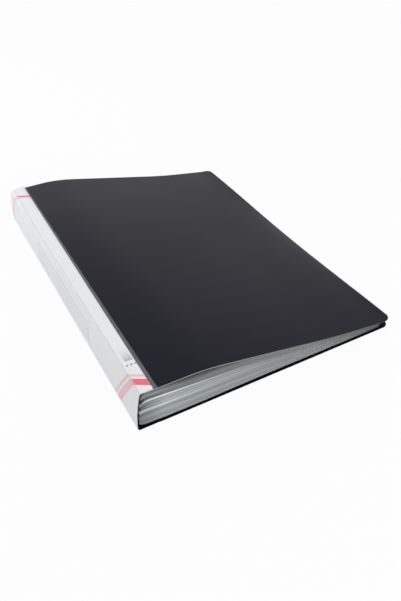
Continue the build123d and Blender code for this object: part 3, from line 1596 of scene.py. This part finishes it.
@dataclass(frozen=True)
class PackPaintedLight:
    """Painted light and shade on the welds and edges of one pack: its tone beside the spine and towards the
    fore edge, and a painted highlight at its top.
    """

    # Painted light beside the spine and towards the fore edge, and how the change between them bends.
    near: float
    fore: float
    bend: float
    # Painted highlight on the pack's top pocket near the spine, and how far across it reaches.
    top: float
    top_reach: float
    # Share of the tone that is kept in the painted shade beside the weld.
    weld_shade: float


@dataclass(frozen=True)
class StackPaintedLight:
    """Painted light and shade on the pockets' welds and edges, with a random share for each pocket: a
    painted highlight on top of each pack near the spine, and painted shade beside the weld, inside the hem
    and towards the fore edge.
    """

    sizes: BookSizes
    packs: tuple[PackPaintedLight, ...] = (
        PackPaintedLight(near=0.03, fore=0.24, bend=0.5, top=0.4, top_reach=0.2, weld_shade=0.0),
        PackPaintedLight(near=0.47, fore=0.28, bend=1.6, top=1.0, top_reach=0.5, weld_shade=0.1),
        PackPaintedLight(near=0.58, fore=0.40, bend=1.6, top=1.0, top_reach=0.45, weld_shade=0.3),
        PackPaintedLight(near=0.52, fore=0.38, bend=1.6, top=0.7, top_reach=0.25, weld_shade=0.4),
    )
    spread: float = 0.8
    # How much the painted highlight falls from one pocket to the next below.
    top_fall: float = 0.5
    # Reach of the painted shade beside the weld.
    shade_reach: float = 22 * MM
    # Painted shade towards the fore edge: where it starts and how strong it is.
    fade_start: float = 0.64
    fore_painted_shade: float = 1.15
    # Painted shade inside the hem, darkest near the spine.
    hem_painted_shade: float = 0.9
    inner_reach: float = 0.2

    def shade(self, piece: bpy.types.Object, number: int, chance: Random, hem_y: float) -> None:
        """Write a pocket's painted light and shade, with its random share, into its tone attribute.

        Args:
            piece: The pocket.
            number: Its place, counted from the front cover.
            chance: Where the small differences come from.
            hem_y: Where its hem begins, along the spine.
        """
        index, place = divmod(number - 1, POCKETS_PER_PACK)
        pack = self.packs[index]
        chosen = 1.0 + self.spread * (chance.random() - 0.5)
        top = pack.top - self.top_fall * place
        layer = piece.data.attributes.new(PAINTED_LIGHT_AND_TONE, "FLOAT", "POINT")
        for vertex in piece.data.vertices:
            share = (vertex.co.x + self.sizes.width / 2) / self.sizes.width
            # Painted shade inside the hem, darkest near the spine.
            inside = vertex.co.y > hem_y - NEAR
            hem_shade = self.hem_painted_shade * min(1.0, share / self.inner_reach) if inside else 1.0
            layer.data[vertex.index].value = self.light_and_tone_at(pack, share, chosen, top) * hem_shade

    def light_and_tone_at(self, pack: PackPaintedLight, share: float, chosen: float, top: float) -> float:
        """Find the painted light and shade of a pocket's hem, with its random share.

        Args:
            pack: The tones of its pack.
            share: Place across the book, from 0 at the spine to 1 at the fore edge.
            chosen: The pocket's own random share of its pack's painted light.
            top: Painted highlight that it has beside the spine, where that is paler.

        Returns:
            The tone, which is painted light and shade with a random share.
        """
        # Painted light from the spine to the fore edge, darkened by painted shade beside the weld, lifted
        # by a painted highlight at a pack's top, and darkened by painted shade towards the fore edge.
        near, fore = pack.near * chosen, pack.fore * (1.0 + chosen) / 2
        plain = near + (fore - near) * min(1.0, max(0.0, share) / self.fade_start) ** pack.bend
        out = min(1.0, share * self.sizes.width / self.shade_reach)
        shaded = plain * (pack.weld_shade + (1.0 - pack.weld_shade) * out)
        bright = ease(1.0 - share / pack.top_reach) * max(0.0, top - plain)
        away = max(0.0, share - self.fade_start) / (1.0 - self.fade_start)
        return (shaded + bright) * max(0.0, 1.0 - self.fore_painted_shade * away)


@dataclass(frozen=True)
class StackCurve:
    """Curve of the pockets between the covers, from their welds to the fore edge."""

    sizes: BookSizes
    profile: FrontProfile
    rest_height: float = 28.4 * MM
    meeting: float = 3.5 * MM
    settling: float = 5.0
    lifts: tuple[float, ...] = (-2.6 * MM, 0.2 * MM, 0.9 * MM, 3.9 * MM, 2.3 * MM)
    lift_start: float = 1.4 * MM
    lift_end: float = 130 * MM
    slope_step: float = 0.05 * MM

    def line_at(self, hinge: Point, fore: Point, share: float, index: int) -> Triple:
        """Follow the curve of a pocket that lies between the covers.

        Args:
            hinge: Its bound edge, as x and z.
            fore: Its fore edge, as x and z.
            share: Share of its width.
            index: Its place, counted from the back cover.

        Returns:
            The place's x, z and slope.
        """
        x = hinge[0] + share * (fore[0] - hinge[0])
        step = self.slope_step
        before, here, after = (
            self.height(hinge, fore, place) + self.lift(index, place - hinge[0])
            for place in (x - step, x, x + step)
        )
        return x, here, (after - before) / (2 * step)

    def lift(self, index: int, run: float) -> float:
        """Find how far a pocket springs up past its weld, before it settles on the ones below.

        Args:
            index: Its place, counted from the back cover.
            run: Distance from its weld.

        Returns:
            The rise.
        """
        pack, place = divmod(index + 1, POCKETS_PER_PACK)
        low = self.lifts[pack]
        high = self.lifts[min(pack + 1, len(self.lifts) - 1)]
        full = low + (high - low) * place / POCKETS_PER_PACK
        rise = 1.0 - 1.0 / (1.0 + (max(0.0, run) / self.lift_start) ** 2)
        return full * rise * ease(1.0 - run / self.lift_end)

    def height(self, hinge: Point, fore: Point, x: float) -> float:
        """Find a pocket's height, at its share of the room between the covers.

        Args:
            hinge: Its bound edge, as x and z.
            fore: Its fore edge, as x and z.
            x: Place across the book.

        Returns:
            The height.
        """
        floor = self.sizes.sheet
        bound_share = (hinge[1] - floor) / (self.ceiling(hinge[0]) - floor)
        fore_share = (fore[1] - floor) / (self.ceiling(fore[0]) - floor)
        left = max(0.0, (fore[0] - x) / (fore[0] - hinge[0]))
        share = fore_share + (bound_share - fore_share) * left**self.settling
        return floor + (self.ceiling(x) - floor) * share

    def ceiling(self, x: float) -> float:
        """Find the height that the stack fills: its rest height, or the front cover where that is lower.

        Args:
            x: Place across the book.

        Returns:
            The height.
        """
        cover = self.profile.underside_at(x)
        mixed = min(1.0, max(0.0, 0.5 + 0.5 * (cover - self.rest_height) / self.meeting))
        lower = cover + (self.rest_height - cover) * mixed
        return lower - self.meeting * mixed * (1.0 - mixed)


@dataclass
class PocketStack:
    """Forty clear pockets, modelled once and laid one on another under the front cover."""

    sizes: BookSizes
    curve: StackCurve
    # Painted light and shade on the pockets' hems and edges.
    tone: StackPaintedLight
    finish: ClearFilm
    edge: FilmEdge
    count: int = 40
    film: float = 0.04 * MM
    slot: float = 0.02 * MM
    seam: float = 3 * MM
    bound_seam: float = 0.5 * MM
    foot_seam: float = 5 * MM
    lip: float = 3 * MM
    length: float = 306 * MM
    width: float = 226.2 * MM
    slices: int = 36
    slice_bend: float = 1.4
    hem: float = 2.4 * MM
    hem_cuts: int = 4
    overrun: float = 0.6 * MM
    tuck_in: float = 0.5 * MM
    tucked: int = 8
    sag: float = 0.045
    bead: float = 0.3
    flex_start: float = 6 * MM
    flex: float = 24 * MM
    seed: int = 11

    @property
    def thickness(self) -> float:
        """Both films and the slot between them."""
        return 2 * self.film + self.slot

    @property
    def hem_y(self) -> float:
        """Where the hem at the closed end begins."""
        return self.hem - self.length / 2

    def build(self) -> list[bpy.types.Object]:
        """Model one flat pocket, then lay a copy of it for each place in the stack.

        Returns:
            The pockets, from the front cover down.
        """
        film = self.finish.make("clear_pocket_film", self.welds)
        edge = self.edge.make("pocket_cut_edge")
        flat = self.flat_pocket()
        flat.data.materials.append(film)
        flat.data.materials.append(edge)
        self.mark_edges(flat)
        chance = Random(self.seed)
        made = []
        for number in range(1, self.count + 1):
            piece = self.lay(flat, number)
            # Write the pocket's painted light and shade into its tone attribute.
            self.tone.shade(piece, number, chance, self.hem_y)
            made.append(piece)
        bpy.data.objects.remove(flat)
        return made

    def welds(self, film: ClearFilm, nodes: Nodes, across: object, along: object) -> object:
        """Draw the weld bands at the bound edge, the fore edge and the closed end.

        Args:
            film: The finish.
            nodes: The material's nodes.
            across: Coordinate from the bound edge.
            along: Coordinate along the spine.

        Returns:
            The mask of the welds.
        """
        half, foot_half = self.seam / 2, self.foot_seam / 2
        bound = film.band(nodes, across, half, half)
        fore = film.band(nodes, across, self.width - half, half)
        foot = film.band(nodes, along, foot_half - self.length / 2, foot_half + self.overrun)
        return nodes.highest(foot, bound, fore)

    def flat_pocket(self) -> bpy.types.Object:
        """Model one pocket flat: a thin block, cut into slices, with a slot pushed in from its open end.

        Returns:
            The pocket.
        """
        middle = (self.width / 2, self.hem / 2, 0.0)
        piece = Bench.block("flat_pocket", (self.width, self.length - self.hem, self.thickness), middle)
        with Bench.editing(piece, Element.EDGE):
            mesh = bmesh.from_edit_mesh(piece.data)
            for edge in mesh.edges:
                if abs(edge.verts[0].co.x - edge.verts[1].co.x) > NEAR:
                    edge.select_set(True)
            bmesh.update_edit_mesh(piece.data)
            bpy.ops.mesh.subdivide(number_cuts=self.slices - 1)
        for vertex in piece.data.vertices:
            vertex.co.x = self.width * max(0.0, vertex.co.x / self.width) ** self.slice_bend
        end = self.length / 2
        with Bench.editing(piece, Element.FACE):
            Bench.pick(piece, Element.FACE, lambda co: co.y < self.hem_y + NEAR)
            for _ in range(self.hem_cuts):
                Bench.run(0.0, 0.0, -(self.hem + self.overrun) / self.hem_cuts)
            Bench.pick(piece, Element.FACE, lambda co: co.y > end - NEAR)
            Bench.run(0.0, 0.0)
            rims = self.bound_seam + self.seam
            still = self.width * self.bound_seam / rims
            inset = (1.0 - rims / self.width, 1.0, self.slot / self.thickness)
            bpy.ops.transform.resize(value=inset, center_override=(still, end, 0.0))
            Bench.run(0.0, 0.0, self.seam - self.length)
            Bench.order_faces(piece)
        with Bench.editing(piece, Element.VERT):
            Bench.pick(piece, Element.VERT, lambda co: co.y > end - NEAR and co.z > 0)
            bpy.ops.transform.translate(value=(0.0, -self.lip, 0.0))
        Bench.close(piece)
        Bench.chart(piece, lambda co: (co.x, co.y))
        return piece

    def mark_edges(self, piece: bpy.types.Object) -> None:
        """Give the second finish to the outer rim of the flat pocket.

        Args:
            piece: The flat pocket.
        """
        for face in piece.data.polygons:
            middle = face.center
            at_end = abs(middle.y) > self.length / 2 - self.lip - NEAR
            at_side = min(middle.x, self.width - middle.x) < NEAR
            if abs(face.normal.z) < EDGE_FACING and (at_end or at_side):
                face.material_index = 1

    def lay(self, flat: bpy.types.Object, number: int) -> bpy.types.Object:
        """Lay one copy at its place in the stack.

        Args:
            flat: The flat pocket.
            number: Its place, counted from the front cover.

        Returns:
            The pocket, which bends beside its weld.
        """
        node = f"pocket_{number:02d}"
        low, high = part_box(node)
        hinge = (low.x, high.z - self.thickness / 2)
        fore = (high.x, low.z + self.thickness / 2)
        piece = flat.copy()
        piece.data = flat.data.copy()
        piece.name = f"clear_pocket_{number:02d}"
        piece.data.name = piece.name
        bpy.context.scene.collection.objects.link(piece)
        index = self.count - number
        back_off = self.tuck_in * max(0.0, 1.0 - index / self.tucked)
        lines = {}
        for vertex in piece.data.vertices:
            share = vertex.co.x / self.width
            if share not in lines:
                lines[share] = self.curve.line_at(hinge, fore, share, index)
            x, z, slope = lines[share]
            scale = 1.0 / hypot(1.0, slope)
            into_hem = max(0.0, self.hem_y - vertex.co.y) / (self.hem + self.overrun)
            lift = vertex.co.z * (1.0 + self.bead * into_hem**2)
            drop = self.sag * into_hem**2 * (z - self.sizes.sheet - self.thickness)
            y = vertex.co.y + back_off * into_hem
            vertex.co = (x - lift * slope * scale, y, z - drop + lift * scale)
        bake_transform(piece)
        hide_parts(node)
        return piece


@dataclass
class WeldStrips:
    """The four strips on the spine that carry the pockets; their solids stay and take a finish."""

    plastic: CoverPlastic
    count: int = 4

    def build(self) -> list[bpy.types.Object]:
        """Dress the strips.

        Returns:
            The strips.
        """
        material = self.plastic.make("weld_strip_plastic")
        made = []
        for number in range(1, self.count + 1):
            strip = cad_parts[f"weld_strip_{number}"]
            strip.data.materials.clear()
            strip.data.materials.append(material)
            made.append(strip)
        return made


@dataclass(frozen=True)
class SoftLamp:
    """One square soft lamp that faces the book."""

    name: str
    place: Triple
    size: float
    power: float

    def hang(self) -> None:
        """Hang the lamp."""
        data = bpy.data.lights.new(self.name, "AREA")
        data.size = self.size
        data.energy = self.power
        lamp = bpy.data.objects.new(self.name, data)
        bpy.context.scene.collection.objects.link(lamp)
        lamp.location = self.place
        lamp.rotation_mode = "QUATERNION"
        lamp.rotation_quaternion = (-Vector(self.place)).to_track_quat("-Z", "Y")


@dataclass
class Studio:
    """White table, soft light and the camera."""

    eye: Triple = (-211.36 * MM, -378.84 * MM, 317.78 * MM)
    azimuth: float = radians(-31.575)
    elevation: float = radians(39.502)
    roll: float = radians(2.84)
    lens: float = 33.168
    sensor: float = 36.0
    clip_start: float = 0.01
    table_size: float = 12.0
    table_drop: float = 0.05 * MM
    table_colour: Colour = (0.75, 0.75, 0.75)
    table_glow: float = 0.94
    room_level: float = 0.47
    film_layers: int = 64
    lamps: tuple[SoftLamp, ...] = (
        SoftLamp("key_lamp", place=(-0.25, -0.55, 1.5), size=0.9, power=1.0),
        SoftLamp("side_lamp", place=(-0.8, 0.62, 0.6), size=0.8, power=6.9),
        SoftLamp("front_lamp", place=(0.4, -1.5, 0.65), size=0.7, power=14.5),
        SoftLamp("fore_lamp", place=(1.4, 0.7, 0.65), size=1.0, power=3.6),
        SoftLamp("back_lamp", place=(0.6, 0.85, 1.0), size=0.9, power=2.4),
    )

    def build(self) -> None:
        """Set the table, the light and the camera."""
        bpy.context.scene.view_settings.view_transform = "Standard"
        self.lay_table()
        self.light_world()
        bpy.context.scene.cycles.transparent_max_bounces = self.film_layers
        for lamp in self.lamps:
            lamp.hang()
        self.place_camera()

    def lay_table(self) -> None:
        """Lay the table, which shows white to the camera and keeps a soft shadow."""
        half = self.table_size / 2
        table = Bench.plane("table", -half, half, self.table_size, -self.table_drop)
        material = bpy.data.materials.new("white_table")
        material.use_nodes = True
        shader = material.node_tree.nodes["Principled BSDF"]
        shader.inputs["Base Color"].default_value = Finish.solid(self.table_colour)
        shader.inputs["Roughness"].default_value = 1.0
        shader.inputs["Specular IOR Level"].default_value = 0.0
        nodes = Nodes(material.node_tree)
        glow = nodes.add("ShaderNodeEmission", Color=WHITE, Strength=1.0)
        self.show(nodes, shader, glow, self.table_glow, "Material Output")
        table.data.materials.append(material)

    def light_world(self) -> None:
        """Light the book evenly from all round, and show white behind it."""
        world = bpy.data.worlds.new("soft_room")
        bpy.context.scene.world = world
        world.use_nodes = True
        room = world.node_tree.nodes["Background"]
        room.inputs["Color"].default_value = WHITE
        room.inputs["Strength"].default_value = self.room_level
        nodes = Nodes(world.node_tree)
        white = nodes.add("ShaderNodeBackground", Color=WHITE, Strength=1.0)
        self.show(nodes, room, white, 1.0, "World Output")

    @staticmethod
    def show(nodes: Nodes, plain: bpy.types.Node, white: bpy.types.Node, share: float, output: str) -> None:
        """Show white to the camera's rays, and the plain shader to all others.

        Args:
            nodes: The nodes of the table or the world.
            plain: The shader that lights the book.
            white: The shader that is seen.
            share: Share of white in what is seen.
            output: Name of the output node.
        """
        blend = nodes.add("ShaderNodeMixShader", Fac=nodes.product(nodes.seen(), share))
        nodes.feed(blend.inputs[1], plain.outputs[0])
        nodes.feed(blend.inputs[2], white.outputs[0])
        nodes.feed(nodes.tree.nodes[output].inputs["Surface"], blend.outputs[0])

    def place_camera(self) -> None:
        """Place the camera where the photograph was taken."""
        data = bpy.data.cameras.new("photo_camera")
        data.lens = self.lens
        data.sensor_width = self.sensor
        data.clip_start = self.clip_start
        camera = bpy.data.objects.new("photo_camera", data)
        bpy.context.scene.collection.objects.link(camera)
        camera.location = self.eye
        level = cos(self.elevation)
        back = Vector((sin(self.azimuth) * level, -cos(self.azimuth) * level, sin(self.elevation)))
        camera.rotation_mode = "QUATERNION"
        roll = Quaternion((0.0, 0.0, 1.0), self.roll)
        camera.rotation_quaternion = (-back).to_track_quat("-Z", "Y") @ roll
        bpy.context.scene.camera = camera


def main() -> None:
    """Build every sub-assembly in order and report its pieces."""
    logging.basicConfig(level=logging.INFO, format="%(name)s: %(message)s")
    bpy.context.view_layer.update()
    sizes = BookSizes()
    profile = FrontProfile(sizes)
    effects = Effects()
    plastic = CoverPlastic(effects)
    sleeve_edge = FilmEdge(effects, shaded=(0.16, 0.17, 0.175))
    # The pockets' edges run from painted shade to painted light by their tone attribute.
    pocket_edge = FilmEdge(effects, pale=(0.93, 0.97, 0.99), shaded=(0.04, 0.043, 0.046))
    sleeve_film = ClearFilm(effects)
    # The pockets' welds run from painted shade to painted highlight by their tone attribute.
    pocket_film = ClearFilm(
        effects,
        weld_plain_and_shaded=(0.03, 0.033, 0.035),
        weld_painted_highlight=(0.93, 0.98, 1.0),
        clear=0.05,
        cloudy=0.08,
        welded=0.92,
        rim=0.12,
    )
    # Painted shade on the back cover: darker plastic with a weaker reflection.
    shaded_back_plastic = CoverPlastic(
        effects, deep=(0.003, 0.003, 0.004), worn=(0.005, 0.005, 0.006), shine=0.02, bow=0.0
    )
    # Painted shade on the back cover's cut edges: black.
    shaded_back_cut = CutPlastic(effects, pale=(0.002, 0.002, 0.0025), dark=(0.002, 0.002, 0.0025), shine=0.01)
    assemblies = (
        CoverShell(sizes, profile, plastic, shaded_back_plastic, CutPlastic(effects), shaded_back_cut),
        SpineCard(sizes, PrintedCard(effects)),
        ClearSleeve(sizes, sleeve_film, sleeve_edge),
        PocketStack(sizes, StackCurve(sizes, profile), StackPaintedLight(sizes), pocket_film, pocket_edge),
        WeldStrips(plastic),
    )
    for assembly in assemblies:
        for piece in assembly.build():
            log.info("%s: %s, %d faces", type(assembly).__name__, piece.name, len(piece.data.polygons))
    Studio().build()


if __name__ == "__main__":
    main()
